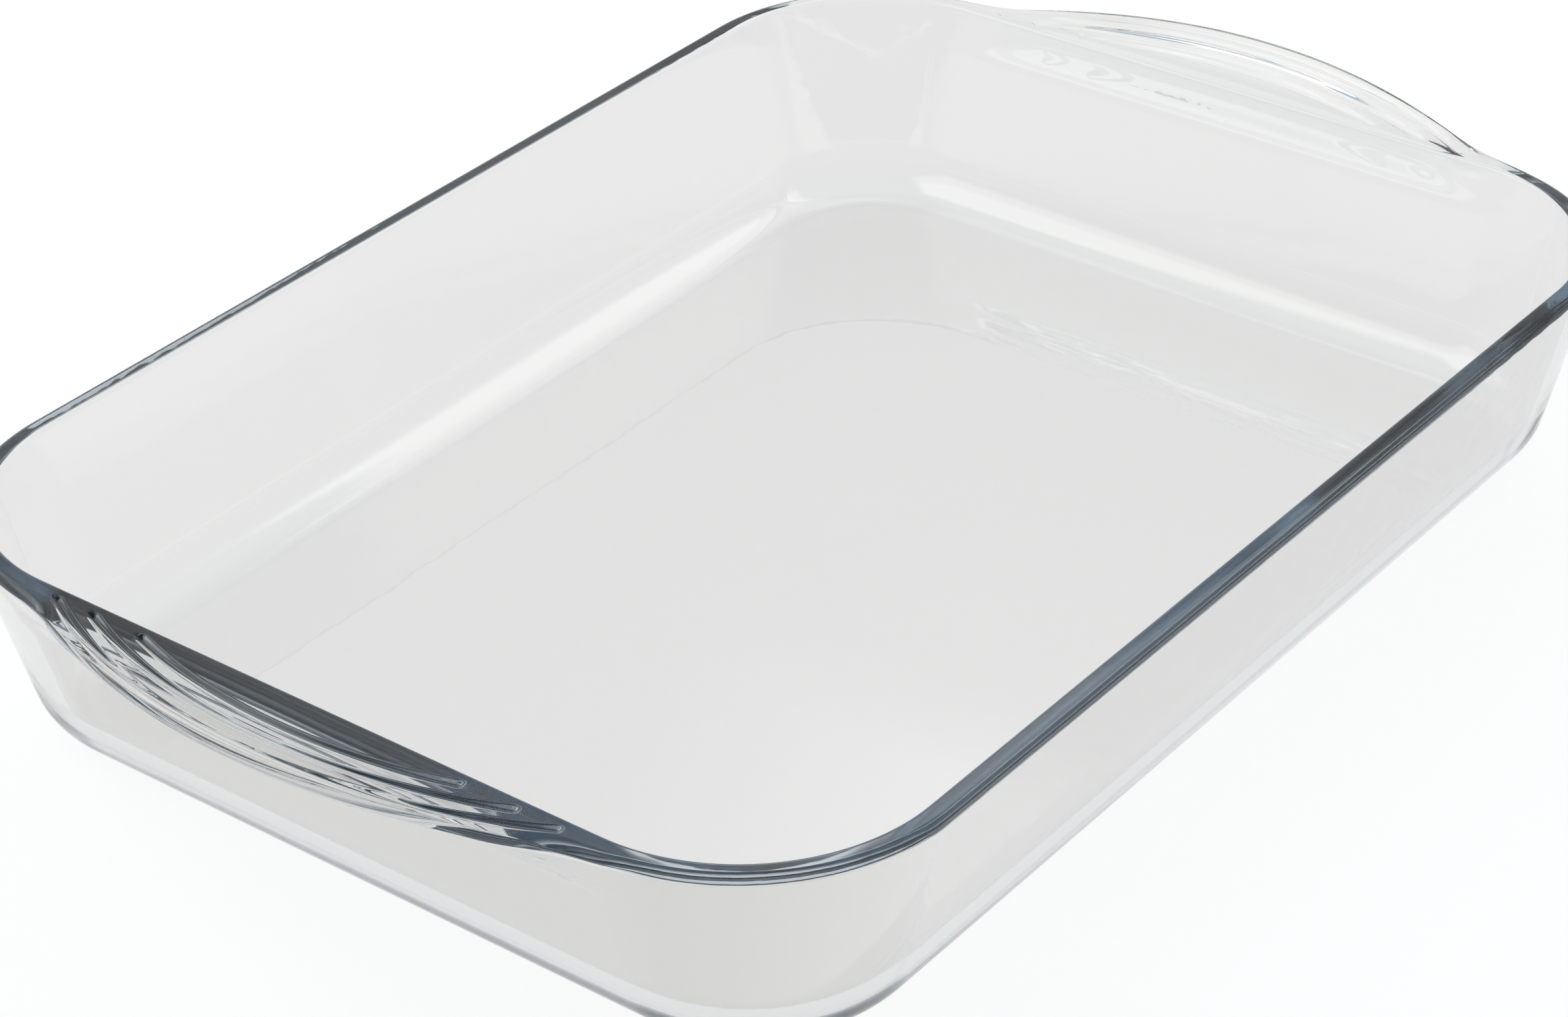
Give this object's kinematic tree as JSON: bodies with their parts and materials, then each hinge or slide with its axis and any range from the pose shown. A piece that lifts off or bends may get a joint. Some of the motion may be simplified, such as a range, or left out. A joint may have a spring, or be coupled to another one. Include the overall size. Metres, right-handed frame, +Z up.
{
  "type": "roasting dish",
  "caption": "Rectangular clear glass roasting dish with a drafted wall, rounded corners, a coved floor and a grooved crescent handle at each short end.",
  "frame": {"origin": "on the table, under the middle of the dish", "axes": "+X along the length towards one handle, +Y across the width, +Z up out of the dish's mouth"},
  "size_m": [0.407, 0.2678, 0.061],
  "materials": {
    "clear_glass": "pressed and fire-polished clear glass"
  },
  "bodies": {
    "root": {"glass_dish": "clear_glass"}
  },
  "joints": []
}
